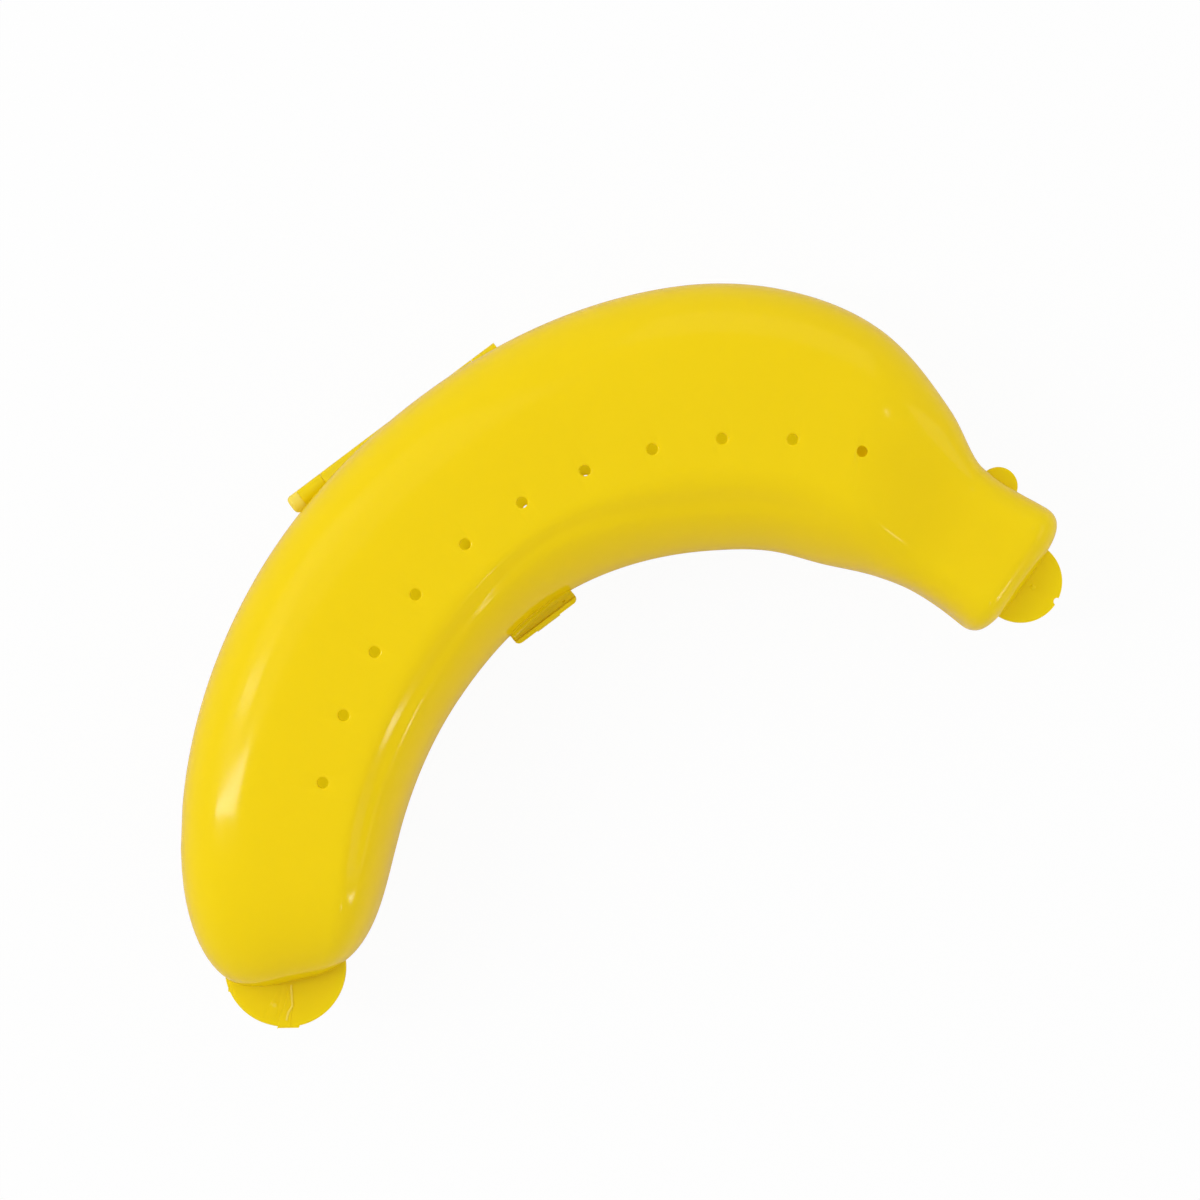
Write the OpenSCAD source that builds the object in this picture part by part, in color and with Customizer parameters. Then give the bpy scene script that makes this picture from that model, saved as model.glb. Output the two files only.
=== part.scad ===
// Carrying case for one banana, closed and lying on its base.
// Two curved half shells meet at a level parting plane. A pinned hinge joins them on the outside
// of the bend, and a small swing latch holds them on the inside. X runs along the hinge axis
// towards the stem, Y from the latch to the hinge. The shape is laid out about the centre of the
// bend, by bearings in degrees from the +Y axis that grow towards the tip.

/* [Body] */
// Radius of the bend that the body follows
bend_radius = 97; // [92:0.5:104]
// Bearing at which the tip ends
tip_angle = 66; // [61:0.5:71]
// Bearing at which the stem ends, on the other side
stem_angle = 80; // [77:0.5:85]
// Width of the body before the tip rounds off
tip_width = 38.5; // [36:0.5:43]
// Width of the body at the hinge
middle_width = 51; // [48:0.5:54]
// Width of the body at the shoulder, its widest place
shoulder_width = 56; // [53:0.5:60]
// Width of the stem
stem_width = 29.5; // [26:0.5:33]
// How much wider the stem is at its end
stem_flare = 1.2; // [0:0.1:3]
// How far the stem lies inside the bend
stem_shift = 13.3; // [11:0.1:15]
// Slant of the stem's end, in degrees of bearing at its two corners
stem_slant = 1.2; // [0:0.1:2]
// How far the tip lies outside the bend
tip_shift = 2.2; // [0:0.1:4]
// Depth of each half, from the parting plane to the crown
half_depth = 23; // [20:0.5:26]
// Depth of each half at the stem
stem_depth = 14.5; // [12:0.5:17]
// Wall thickness of both shells
wall = 1.8; // [1.6:0.1:2.4]
// Width of the flat along the crown, which the case rests on
crown_flat = 13; // [9:0.5:15]
// How far the crown's flat lies inside the body's mid-line
crown_inset = 4.8; // [2:0.2:6]

/* [Rim] */
// Height of the base's lip, which centres the lid
lip_height = 1.6; // [1.2:0.1:2.4]
// Thickness of the lip
lip_thickness = 0.7; // [0.5:0.05:0.9]
// Room between the lip and the lid
lip_clearance = 0.3; // [0.2:0.05:0.4]
// Gap between the two rims
parting_gap = 0.2; // [0.1:0.05:0.3]

/* [Vents] */
// Number of air holes in each shell
vent_count = 11; // [7:1:12]
// Diameter of an air hole
vent_diameter = 2.2; // [1.6:0.1:3]
// Spacing of the air holes along their row
vent_pitch = 14.4; // [12:0.1:15]
// Radius of the arc that the row follows
vent_radius = 89.7; // [87:0.1:92]
// How far the centre of that arc lies from the centre of the bend, towards the hinge
vent_shift = 1.7; // [0:0.1:3]

/* [Hinge] */
// Overall length of the hinge, pin head included
hinge_length = 55; // [46:0.5:60]
// How far the middle of the hinge is set towards the tip
hinge_offset = 3.6; // [0:0.1:6]
// How far the hinge axis lies inside the outermost edge of the rim
hinge_inset = 1.9; // [1.6:0.1:2.2]
// Outside diameter of the hinge barrel
barrel_diameter = 4.1; // [3.6:0.1:5]
// Length of each of the base's two knuckles
knuckle_length = 6; // [4:0.5:9]
// Diameter of the hinge pin
pin_diameter = 1.8; // [1.4:0.1:2.2]
// Length of the pin's head
pin_head_length = 2.9; // [2.2:0.1:4]
// Extra wall thickness behind the hinge
hinge_pad = 1.4; // [0.8:0.1:2]
// Angle to which the lid opens
opening_angle = 140; // [110:1:150]

/* [Latch] */
// Width of the latch clip
latch_width = 16; // [12:0.5:20]
// How far the latch is set towards the tip
latch_offset = 2.5; // [0:0.5:5]
// How far the lid's catch stands out beside the clip
catch_out = 1.4; // [1:0.1:2]
// Thickness of the catch
catch_height = 1.3; // [1:0.1:1.8]
// Depth of the clip's pin below the parting plane
latch_drop = 6; // [5:0.5:8]
// Diameter of the latch pin
latch_pin_diameter = 1; // [0.8:0.1:1.4]
// Width of the base's lug that carries the latch pin
lug_width = 6; // [4:0.5:8]

/* [Tabs] */
// Thickness of every tab
tab_thickness = 1.5; // [1.2:0.1:2.2]
// Radius of the round tabs at the tip
tip_tab_radius = 12.6; // [11:0.2:14]
// Radius of the fan-shaped tab at the stem
stem_tab_radius = 8.8; // [7:0.2:11]
// Radius of the ear beside the stem
ear_radius = 4.1; // [3:0.1:6]
// Bearing of the ear, on the stem's side
ear_angle = 69.5; // [67:0.5:72]

/* [Hidden] */
$fn = 64;

// Clearances: beside a moving piece, at the ends of a barrel, and around a pin that turns
side_gap = 0.3;
end_gap = 0.2;
pin_clearance = 0.05;

// Roundness of the section across the body: outside the bend, and inside it, where the crown has a ridge
outer_power = 2.7;
ridge_power = 1.7;
// Roundness of the tip, of the stem's end in plan, and of the stem's end wall
tip_power = 3.4;
stem_power = 5;
stem_wall_power = 2.4;
// Length of the rounded ends, in degrees of bearing
tip_round = 20;
stem_round = 5;
// Bearings between which the crown falls from the body to the stem
fall_start = -49;
fall_end = -68;
// Bearing from which the stem's end turns into its slant
slant_start = -70;

// Facets: rings over each rounded end and along the body, and points over half a section
end_rings = 9;
body_rings = 36;
half_points = 10;

// Levels of the two rims and of the hinge axis
base_rim = half_depth;
lid_rim = base_rim + parting_gap;
hinge_z = base_rim + parting_gap / 2;

function mix(a, b, share) = a + (b - a) * share;
function ease(t) = let (c = min(max(t, 0), 1)) c * c * (3 - 2 * c);
function degrees_of(length, radius) = length / radius * 180 / PI;
function place(radius, bearing) = [-radius * sin(bearing), radius * cos(bearing)];

// Stations from the stem to the tip: bearing, shift of the mid-line, width
stations = [
    [-stem_angle, -stem_shift + stem_flare / 2, stem_width + stem_flare],
    [-66.5, -stem_shift, stem_width],
    [-60, mix(0, -stem_shift, 0.73), mix(shoulder_width, stem_width, 0.68)],
    [-50, mix(0, -stem_shift, 0.33), mix(shoulder_width, stem_width, 0.2)],
    [-40, mix(0, -stem_shift, 0.08), mix(shoulder_width, stem_width, 0.04)],
    [-29, 0, shoulder_width],
    [0, 0, middle_width],
    [22, 0, mix(middle_width, tip_width, 0.1)],
    [44, mix(0, tip_shift, 0.35), mix(middle_width, tip_width, 0.38)],
    [tip_angle, tip_shift, tip_width],
];
last = len(stations) - 1;

// A smooth curve through one column of the stations
function slope(i, column) =
    let (before = stations[max(i - 1, 0)], after = stations[min(i + 1, last)])
    (after[column] - before[column]) / (after[0] - before[0]);
function along(bearing, column) =
    let (
        i = max([0, for (k = [1 : last - 1]) if (bearing >= stations[k][0]) k]),
        start = stations[i],
        end = stations[i + 1],
        span = end[0] - start[0],
        t = (bearing - start[0]) / span,
        blend = ease(t)
    )
    mix(start[column], end[column], blend)
    + span * t * (1 - t) * ((1 - t) * slope(i, column) - t * slope(i + 1, column));

function middle_radius(bearing) = bend_radius + along(bearing, 1);
function half_width(bearing) = along(bearing, 2) / 2;
function fall(bearing) = ease((bearing - fall_start) / (fall_end - fall_start));
function depth(bearing) = mix(half_depth, stem_depth, fall(bearing));
function crest(bearing) = mix(-crown_inset, 0, fall(bearing));
function inner_power(bearing) = mix(ridge_power, outer_power, fall(bearing));
function outer_rim(bearing) = middle_radius(bearing) + half_width(bearing);
function inner_rim(bearing) = middle_radius(bearing) - half_width(bearing);

// The wall is thicker behind the hinge, so that the hinge recess leaves it whole
hinge_bearing = degrees_of(hinge_offset, outer_rim(0));
hinge_reach = degrees_of(hinge_length / 2, outer_rim(0));
pad_taper = 5;
function pad(bearing) = hinge_pad * (1 - ease((abs(bearing - hinge_bearing) - hinge_reach) / pad_taper));

// Rings across the body: bearing, and the scales of width and depth that close the rounded ends
ring_count = 2 * end_rings + body_rings;
function bow(share, power) = pow(1 - pow(share, power), 1 / power);
function ring(j, inset) =
    let (
        stem_end = degrees_of(inset, bend_radius - stem_shift) - stem_angle,
        tip_end = tip_angle - degrees_of(inset, bend_radius),
        stem_turn = 90 * j / end_rings,
        tip_turn = 90 * (ring_count - j) / end_rings
    )
    j < end_rings
        ? let (back = pow(cos(stem_turn), 2 / stem_power))
            [stem_end + stem_round * (1 - back), bow(back, stem_power), bow(back, stem_wall_power)]
        : j > end_rings + body_rings
            ? let (back = pow(cos(tip_turn), 2 / tip_power))
                [tip_end - tip_round * (1 - back), bow(back, tip_power), bow(back, tip_power)]
            : [mix(stem_end + stem_round, tip_end - tip_round, (j - end_rings) / body_rings), 1, 1];

// A point of the section at ring j, at the given inset from the outside. Point 0 is on the rim
// inside the bend and the last point on the rim outside it. The third value is depth from the rim.
section_last = 2 * half_points + 1;
function section_point(j, k, inset) =
    let (
        at = ring(j, inset),
        bearing = at[0],
        inside = k <= half_points,
        turn = 90 * (inside ? k : section_last - k) / half_points,
        thicker = inside || inset < wall ? 0 : pad(bearing),
        reach = half_width(bearing) - inset - thicker,
        side = inside ? -1 : 1,
        power = inside ? inner_power(bearing) : outer_power,
        flat_edge = crest(bearing) + side * (crown_flat - inset) / 2,
        across = flat_edge + (side * reach - flat_edge) * pow(cos(turn), 2 / power),
        skew = stem_slant * at[1] * across / reach * ease((slant_start - bearing) / (slant_start + stem_angle)),
        spot = place(middle_radius(bearing) + across * at[1], bearing + skew)
    )
    [spot[0], spot[1], (depth(bearing) - inset) * pow(sin(turn), 2 / power) * at[2]];

// The rim as a closed loop, from the stem round the inside of the bend to the tip and back
function rim_loop(inset) = [
    for (j = [0 : ring_count]) section_point(j, 0, inset),
    for (j = [ring_count - 1 : -1 : 1]) section_point(j, section_last, inset),
];

// Half of the case: side 1 is the lid and -1 the base. The rim has one step, at step_inset from
// the outside and step_depth deep, which is a rebate in the lid and a lip on the base.
module half_shell(side, rim, step_inset, step_depth) {
    row = section_last + 1;
    patch = 2 + (ring_count - 1) * row;
    loop = 2 * ring_count;
    function level(p, d) = [p[0], p[1], rim + side * d];
    function index(j, k) = j == 0 ? 0 : j == ring_count ? 1 : 2 + (j - 1) * row + k;
    function patch_points(inset, edge_depth) = [
        for (j = [0, ring_count]) level(section_point(j, 0, inset), edge_depth),
        for (j = [1 : ring_count - 1], k = [0 : section_last])
            let (p = section_point(j, k, inset), on_edge = k == 0 || k == section_last)
            level(p, on_edge ? edge_depth : max(p[2], edge_depth))
    ];
    patch_faces = [
        for (j = [0 : ring_count - 1], k = [0 : section_last - 1])
            each [
                if (j > 0) [index(j, k), index(j, k + 1), index(j + 1, k)],
                if (j < ring_count - 1) [index(j, k + 1), index(j + 1, k + 1), index(j + 1, k)]
            ]
    ];
    outer_edge = [
        for (j = [0 : ring_count]) index(j, 0),
        for (j = [ring_count - 1 : -1 : 1]) index(j, section_last)
    ];
    edges = [
        outer_edge,
        [for (i = [0 : loop - 1]) 2 * patch + i],
        [for (i = [0 : loop - 1]) 2 * patch + loop + i],
        [for (i = outer_edge) patch + i]
    ];
    rim_faces = [
        for (m = [0 : 2], i = [0 : loop - 1])
            let (n = (i + 1) % loop, a = edges[m], b = edges[m + 1])
            each [[a[i], b[n], b[i]], [a[i], a[n], b[n]]]
    ];
    step = rim_loop(step_inset);
    points = concat(
        patch_points(0, 0),
        patch_points(wall, step_depth),
        [for (p = step) level(p, 0)],
        [for (p = step) level(p, step_depth)]
    );
    faces = concat(
        patch_faces,
        [for (f = patch_faces) [f[2] + patch, f[1] + patch, f[0] + patch]],
        rim_faces
    );
    polyhedron(points, side < 0 ? faces : [for (f = faces) [f[2], f[1], f[0]]], convexity = 8);
}

// The outline of the rim in plan
module rim_outline(inset) {
    polygon([for (p = rim_loop(inset)) [p[0], p[1]]]);
}

// A profile drawn in Y and Z, drawn out along X
module along_x(from, to) {
    translate([from, 0, 0]) rotate([90, 0, 90]) linear_extrude(to - from) children();
}

// A row of air holes through the crown of both shells
vent_bearing = -5.4;
module vents() {
    step = degrees_of(vent_pitch, vent_radius);
    for (i = [0 : vent_count - 1]) {
        spot = place(vent_radius, vent_bearing + (i - (vent_count - 1) / 2) * step);
        translate([spot[0], spot[1] + vent_shift, -1]) cylinder(d = vent_diameter, h = 2 * half_depth + 4);
    }
}

// A round tab around a point of the rim, cut off inside the wall so that the hollow stays clear
tab_root = 0.6;
module tab(centre, radius) {
    linear_extrude(tab_thickness)
        difference() {
            translate(centre) circle(radius);
            rim_outline(tab_root);
        }
}

// Tab places: a little inside the end of the tip and of the stem, and on the stem's outer rim
tip_tab_set = 2.8;
stem_tab_set = 0.5;
lid_tab_shift = 1.1;
base_tab_shift = 1.9;
stem_tab_shift = 0.5;
tip_bearing = tip_angle - degrees_of(tip_tab_set, bend_radius);
tip_tab_at = place(bend_radius + tip_shift + lid_tab_shift, tip_bearing);
base_tip_tab_at = place(bend_radius + tip_shift + base_tab_shift, tip_bearing);
stem_tab_reach = bend_radius - stem_shift + stem_tab_shift;
stem_tab_at = place(stem_tab_reach, degrees_of(stem_tab_set, stem_tab_reach) - stem_angle);
ear_at = place(outer_rim(-ear_angle) - tab_root, -ear_angle);
// A small notch in the fan-shaped tab's edge, at an angle from +X
notch_angle = -66;
notch_radius = 0.8;
notch_at = stem_tab_at + stem_tab_radius * [cos(notch_angle), sin(notch_angle)];

// Hinge: axis, ends, and the lid's barrel between the base's two knuckles
rim_crest = max([for (bearing = [-20 : 0.5 : 20]) outer_rim(bearing) * cos(bearing)]);
hinge_y = rim_crest - hinge_inset;
barrel_radius = barrel_diameter / 2;
hinge_left = -hinge_offset - hinge_length / 2;
hinge_right = hinge_left + hinge_length;
head_end = hinge_left + pin_head_length;
left_knuckle_end = head_end + knuckle_length;
right_knuckle_start = hinge_right - knuckle_length;
barrel_start = left_knuckle_end + end_gap;
barrel_end = right_knuckle_start - end_gap;
gusset_depth = 1.4;
gusset_height = 5;
// Both walls are cut back beside the axis, so that they clear each other until past full opening
relief_angle = opening_angle / 2 + 2;
relief_width = 6;
relief_length = 90;

// A knuckle with its gusset against the wall, in profile. Side 1 is the lid's.
module knuckle_profile(side) {
    corner = barrel_radius * sin(45);
    translate([hinge_y, hinge_z]) {
        circle(barrel_radius);
        polygon([
            [-gusset_depth, side * parting_gap / 2],
            [0, side * parting_gap / 2],
            [corner, side * corner],
            [-gusset_depth, side * gusset_height]
        ]);
    }
}

module pin_hole(radius) {
    translate([hinge_left - 1, hinge_y, hinge_z]) rotate([0, 90, 0]) cylinder(r = radius, h = hinge_length + 2);
}

// The room that a wall leaves beside the hinge axis
module hinge_relief(side) {
    along_x(-relief_length / 2, relief_length / 2)
        translate([hinge_y, hinge_z])
            polygon([[0, 0], [relief_width, 0], [relief_width, side * relief_width * tan(relief_angle)]]);
}

// The room that a shell leaves around a barrel of the other shell
module barrel_pocket(from, to) {
    along_x(from - end_gap, to + end_gap)
        translate([hinge_y, hinge_z]) circle(barrel_radius + side_gap);
}

// Latch: measured outwards from the nearest place of the rim behind the clip
latch_radius = inner_rim(degrees_of(latch_offset, inner_rim(0)));
latch_face = sqrt(pow(latch_radius, 2) - pow(latch_offset + latch_width / 2, 2));
latch_x = -latch_offset;
latch_z = base_rim - latch_drop;
eye_wall = 0.5;
lug_wall = 0.7;
clip_barrel = latch_pin_diameter / 2 + eye_wall;
lug_radius = latch_pin_diameter / 2 + lug_wall;
nose_gap = 0.2;
nose_out = 0.2;
nose_height = 0.5;
nose_lift = 0.1;
clip_wall = 0.7;
clip_root = 0.6;
clip_out = catch_out + nose_gap + nose_out + clip_wall;
pivot_out = clip_out - clip_barrel;
corner_radius = 1.2;
catch_root = 0.9;
catch_trim = 0.5;

// How far the wall inside the bend has drawn in at a distance below the rim, and so how deep the lug's root is
function draw_in(drop) =
    (half_width(0) - crown_inset - crown_flat / 2) * (1 - bow(drop / half_depth, ridge_power));
lug_root = latch_radius - latch_face + draw_in(latch_drop + lug_radius) + tab_root;

// A box given by its distances out from the latch face, its levels and its width along X
module latch_box(out_from, out_to, z_from, z_to, width) {
    translate([latch_x - width / 2, latch_face - out_to, z_from])
        cube([width, out_to - out_from, z_to - z_from]);
}

module latch_bore(radius) {
    translate([latch_x - latch_width / 2 - 1, latch_face - pivot_out, latch_z])
        rotate([0, 90, 0]) cylinder(r = radius, h = latch_width + 2);
}

// Origin: middle of the case in plan, on the surface that it rests on
rim = rim_loop(0);
x_low = min(tip_tab_at[0], base_tip_tab_at[0]) - tip_tab_radius;
x_high = max(max([for (p = rim) p[0]]), ear_at[0] + ear_radius);
y_low = min(min([for (p = rim) p[1]]), stem_tab_at[1] - stem_tab_radius);
y_high = max(rim_crest, hinge_y + barrel_radius);
origin = [(x_low + x_high) / 2, (y_low + y_high) / 2, 0];

module placed() {
    translate(-origin) children();
}

// Lower half: shell, lip, tabs, ear, hinge knuckles and latch lug in one moulding
module base_shell() {
    tab_level = base_rim - parting_gap - tab_thickness;
    color("gold") placed() difference() {
        union() {
            difference() {
                half_shell(-1, base_rim, wall - lip_thickness, -lip_height);
                vents();
                hinge_relief(-1);
                barrel_pocket(barrel_start, barrel_end);
                barrel_pocket(hinge_left, head_end);
                lip_gap();
            }
            translate([0, 0, tab_level]) {
                tab(base_tip_tab_at, tip_tab_radius);
                tab(ear_at, ear_radius);
                difference() {
                    tab(stem_tab_at, stem_tab_radius);
                    translate(notch_at) cylinder(r = notch_radius, h = 3 * tab_thickness, center = true);
                }
            }
            along_x(head_end, left_knuckle_end) knuckle_profile(-1);
            along_x(right_knuckle_start, hinge_right) knuckle_profile(-1);
            latch_lug();
        }
        pin_hole(pin_diameter / 2);
        latch_bore(latch_pin_diameter / 2);
    }
}

// The lip stops short of the hinge on both sides
lip_stop = 6;
lip_cut = 9;
module lip_gap() {
    reach = hinge_length / 2 + lip_stop;
    translate([-hinge_offset - reach, hinge_y - lip_cut, base_rim])
        cube([2 * reach, 2 * lip_cut, 2 * lip_height]);
}

module latch_lug() {
    along_x(latch_x - lug_width / 2, latch_x + lug_width / 2)
        translate([latch_face - pivot_out, latch_z]) {
            circle(lug_radius);
            translate([0, -lug_radius]) square([pivot_out + lug_root, 2 * lug_radius]);
        }
}

// Upper half: shell, tip tab, hinge barrel and the catch that the latch closes over
module lid_shell() {
    rebate = lip_height + lip_clearance - parting_gap;
    color("gold") placed() difference() {
        union() {
            difference() {
                half_shell(1, lid_rim, wall - lip_thickness - lip_clearance, rebate);
                vents();
                hinge_relief(1);
                barrel_pocket(hinge_left, left_knuckle_end);
                barrel_pocket(right_knuckle_start, hinge_right);
            }
            translate([0, 0, lid_rim]) tab(tip_tab_at, tip_tab_radius);
            along_x(barrel_start, barrel_end) knuckle_profile(1);
            translate([0, 0, lid_rim]) linear_extrude(catch_height) catch_plan();
        }
        pin_hole(pin_diameter / 2 + pin_clearance);
    }
}

// Hinge pin with a rounded head at the tip side
module hinge_pin() {
    head_round = 1;
    head_radius = barrel_radius;
    color("khaki") placed() translate([hinge_left, hinge_y, hinge_z]) rotate([0, 90, 0]) rotate_extrude()
        difference() {
            union() {
                square([pin_diameter / 2, hinge_length]);
                translate([0, head_round]) square([head_radius, pin_head_length - head_round]);
                square([head_radius - head_round, pin_head_length]);
                translate([head_radius - head_round, head_round]) circle(head_round);
            }
            translate([-barrel_diameter, -1]) square([barrel_diameter, hinge_length + 2]);
        }
}

// Plan of a piece of the latch between two distances out, with its two outer corners rounded
module latch_plan(out_from, out_to, width) {
    outer = latch_face - out_to;
    translate([latch_x - width / 2, outer + corner_radius]) square([width, out_to - out_from - corner_radius]);
    translate([latch_x - width / 2 + corner_radius, outer]) square([width - 2 * corner_radius, out_to - out_from]);
    for (side = [-1, 1])
        translate([latch_x + side * (width / 2 - corner_radius), outer + corner_radius]) circle(corner_radius);
}

// The lid's catch stays out of the hollow
module catch_plan() {
    difference() {
        latch_plan(-catch_root, catch_out, latch_width - 2 * catch_trim);
        rim_outline(tab_root);
    }
}

// Latch clip: a plate on two eyes, thicker at its foot, with a nose above the lid's catch
module latch_clip() {
    nose_level = lid_rim + catch_height + nose_lift;
    top = nose_level + nose_height;
    foot_top = base_rim - side_gap;
    foot_out = clip_out - clip_wall - clip_root;
    window_top = latch_z + lug_radius + side_gap;
    color("goldenrod") placed() difference() {
        intersection() {
            union() {
                latch_box(clip_out - clip_wall, clip_out, latch_z, top, latch_width);
                latch_box(foot_out, clip_out, latch_z, foot_top, latch_width);
                latch_box(clip_out - clip_wall - nose_out, clip_out, nose_level, top, latch_width);
                along_x(latch_x - latch_width / 2, latch_x + latch_width / 2)
                    translate([latch_face - pivot_out, latch_z]) circle(clip_barrel);
            }
            linear_extrude(2 * top) latch_plan(0, clip_out, latch_width);
        }
        latch_box(-1, clip_out + 1, latch_z - 2 * clip_barrel, window_top, lug_width + 2 * end_gap);
        latch_bore(latch_pin_diameter / 2 + pin_clearance);
    }
}

// Latch pin, pressed into the base's lug
module latch_pin() {
    end_set = 0.3;
    color("khaki") placed()
        translate([latch_x - latch_width / 2 + end_set, latch_face - pivot_out, latch_z])
            rotate([0, 90, 0]) cylinder(d = latch_pin_diameter, h = latch_width - 2 * end_set);
}

base_shell();
lid_shell();
hinge_pin();
latch_clip();
latch_pin();
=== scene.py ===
from math import cos, pi, radians, sin

import bmesh
import bpy
import numpy as np
from mathutils import Matrix, Vector


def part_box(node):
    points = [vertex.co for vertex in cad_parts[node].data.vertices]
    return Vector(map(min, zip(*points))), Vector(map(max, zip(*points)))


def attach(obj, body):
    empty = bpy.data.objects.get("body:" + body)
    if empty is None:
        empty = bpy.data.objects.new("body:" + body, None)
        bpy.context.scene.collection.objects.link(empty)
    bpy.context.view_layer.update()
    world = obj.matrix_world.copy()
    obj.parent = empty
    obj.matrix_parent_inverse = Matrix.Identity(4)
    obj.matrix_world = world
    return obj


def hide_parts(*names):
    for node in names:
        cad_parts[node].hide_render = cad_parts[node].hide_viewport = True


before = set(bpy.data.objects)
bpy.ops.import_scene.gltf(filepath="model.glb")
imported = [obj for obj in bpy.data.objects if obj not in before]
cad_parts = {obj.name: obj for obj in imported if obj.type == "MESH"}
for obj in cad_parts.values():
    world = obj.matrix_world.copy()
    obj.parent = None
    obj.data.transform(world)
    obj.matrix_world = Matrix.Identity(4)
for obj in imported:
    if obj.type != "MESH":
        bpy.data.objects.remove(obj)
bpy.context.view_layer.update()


# Base shell: the lower half of the case, one injection moulding in yellow polypropylene. A rounded
# section is swept round the bend of a banana, and the rim ends in a thin lip that centres the lid.
# Its tabs, hinge knuckles and latch lug come out of the same mould. Sizes are in millimetres.
MM = 0.001
bend_radius, tip_angle, stem_angle = 97.0, 66.0, 80.0
tip_width, middle_width, shoulder_width = 38.5, 51.0, 56.0
stem_width, stem_flare, stem_shift, stem_slant, tip_shift = 29.5, 1.2, 13.3, 1.2, 2.2
half_depth, stem_depth, wall = 23.0, 14.5, 1.8
crown_flat, crown_inset = 13.0, 4.8
outer_power, ridge_power = 2.7, 1.7
tip_power, tip_wall_power, stem_power, stem_wall_power = 3.4, 2.7, 4.0, 2.4
tip_round, stem_round = 20.0, 5.0
fall_start, fall_end, slant_start = -49.0, -68.0, -70.0
lip_height, lip_thickness, parting_gap = 1.6, 0.7, 0.2
rim_round, lip_round = 0.3, 0.15
hinge_length, hinge_offset, hinge_inset, hinge_pad = 55.0, 3.6, 1.9, 1.4
base_rim = half_depth


def ease(t):
    """A share of the way that starts and ends gently."""
    share = np.clip(t, 0, 1)
    return share * share * (3 - 2 * share)


def between(a, b, share):
    return a + (b - a) * share


# Stations from the stem to the tip: bearing about the bend's centre, shift of the mid-line, width.
stations = np.array([
    [-stem_angle, -stem_shift + stem_flare / 2, stem_width + stem_flare],
    [-66.5, -stem_shift, stem_width],
    [-60, -0.73 * stem_shift, between(shoulder_width, stem_width, 0.68)],
    [-50, -0.33 * stem_shift, between(shoulder_width, stem_width, 0.2)],
    [-40, -0.08 * stem_shift, between(shoulder_width, stem_width, 0.04)],
    [-29, 0, shoulder_width],
    [0, 0, middle_width],
    [22, 0, between(middle_width, tip_width, 0.1)],
    [44, 0.35 * tip_shift, between(middle_width, tip_width, 0.38)],
    [tip_angle, tip_shift, tip_width],
])


def along(bearing, column):
    """A smooth curve through one column of the stations."""
    last = len(stations) - 1
    order = np.arange(last + 1)
    before, after = stations[np.maximum(order - 1, 0)], stations[np.minimum(order + 1, last)]
    i = np.clip(np.searchsorted(stations[:, 0], bearing, side="right") - 1, 0, last - 1)
    slope = (after[:, column] - before[:, column]) / (after[:, 0] - before[:, 0])
    span = stations[i + 1, 0] - stations[i, 0]
    t = (bearing - stations[i, 0]) / span
    bow = span * t * (1 - t) * ((1 - t) * slope[i] - t * slope[i + 1])
    return between(stations[i, column], stations[i + 1, column], ease(t)) + bow


def outer_rim(bearing):
    """Radius of the rim outside the bend."""
    return bend_radius + along(bearing, 1) + along(bearing, 2) / 2


# The hinge pin of the frame says where the centre of the bend lies.
pin_low, pin_high = (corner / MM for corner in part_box("hinge_pin"))
hinge_y, hinge_z = (pin_low.y + pin_high.y) / 2, (pin_low.z + pin_high.z) / 2
crest_bearings = np.arange(-20, 20.5, 0.5)
rim_crest = (outer_rim(crest_bearings) * np.cos(np.radians(crest_bearings))).max()
centre = (pin_low.x + hinge_offset + hinge_length / 2, hinge_y - rim_crest + hinge_inset)


def place(radius, bearing, z=0.0):
    """A point at a radius and a bearing about the bend's centre."""
    turn = radians(bearing)
    return Vector((centre[0] - radius * sin(turn), centre[1] + radius * cos(turn), z))


class Wire:
    """A node's output that stands in Python expressions: each operator adds a Math node to its tree."""

    def __init__(self, tree, socket=None):
        self.tree, self.socket = tree, socket

    def feed(self, socket, value):
        """Links a wire to a socket, or sets the socket's value."""
        if isinstance(value, Wire):
            self.tree.links.new(value.socket, socket)
        else:
            socket.default_value = value

    @staticmethod
    def pick(sockets, key):
        """The socket in use that has that place or that name."""
        usable = [s for s in sockets if s.enabled]
        return usable[key] if isinstance(key, int) else next(s for s in usable if s.name == key)

    def node(self, kind, sockets=None, out=0, **settings):
        """Any node: its settings are set first, then the values or links of its sockets."""
        made = self.tree.nodes.new(kind)
        for name, value in settings.items():
            setattr(made, name, value)
        for key, value in (sockets or {}).items():
            self.feed(self.pick(made.inputs, key), value)
        return Wire(self.tree, self.pick(made.outputs, out))

    def math(self, operation, *values):
        return self.node("ShaderNodeMath", dict(enumerate((self, *values))), operation=operation)

    def __add__(self, other):
        return self.math("ADD", other)

    def __sub__(self, other):
        return self.math("SUBTRACT", other)

    def __rsub__(self, other):
        return (self * -1).math("ADD", other)

    def __mul__(self, other):
        return self.math("MULTIPLY", other)

    def __truediv__(self, other):
        return self.math("DIVIDE", other)

    def __rtruediv__(self, other):
        return (self ** -1).math("MULTIPLY", other)

    def __pow__(self, other):
        return self.math("POWER", other)

    __radd__ = __add__
    __rmul__ = __mul__


def new_tree(name, **inputs):
    """A geometry tree with named inputs, and a wire for each of them."""
    tree = bpy.data.node_groups.new(name, "GeometryNodeTree")
    tree.interface.new_socket("Geometry", in_out="OUTPUT", socket_type="NodeSocketGeometry")
    tree.interface.new_socket("Geometry", in_out="INPUT", socket_type="NodeSocketGeometry")
    for key, kind in {**inputs, "finish": "Material"}.items():
        tree.interface.new_socket(key, in_out="INPUT", socket_type="NodeSocket" + kind)
    entry = tree.nodes.new("NodeGroupInput")
    return {s.name: Wire(tree, s) for s in entry.outputs if s.name}


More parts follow.
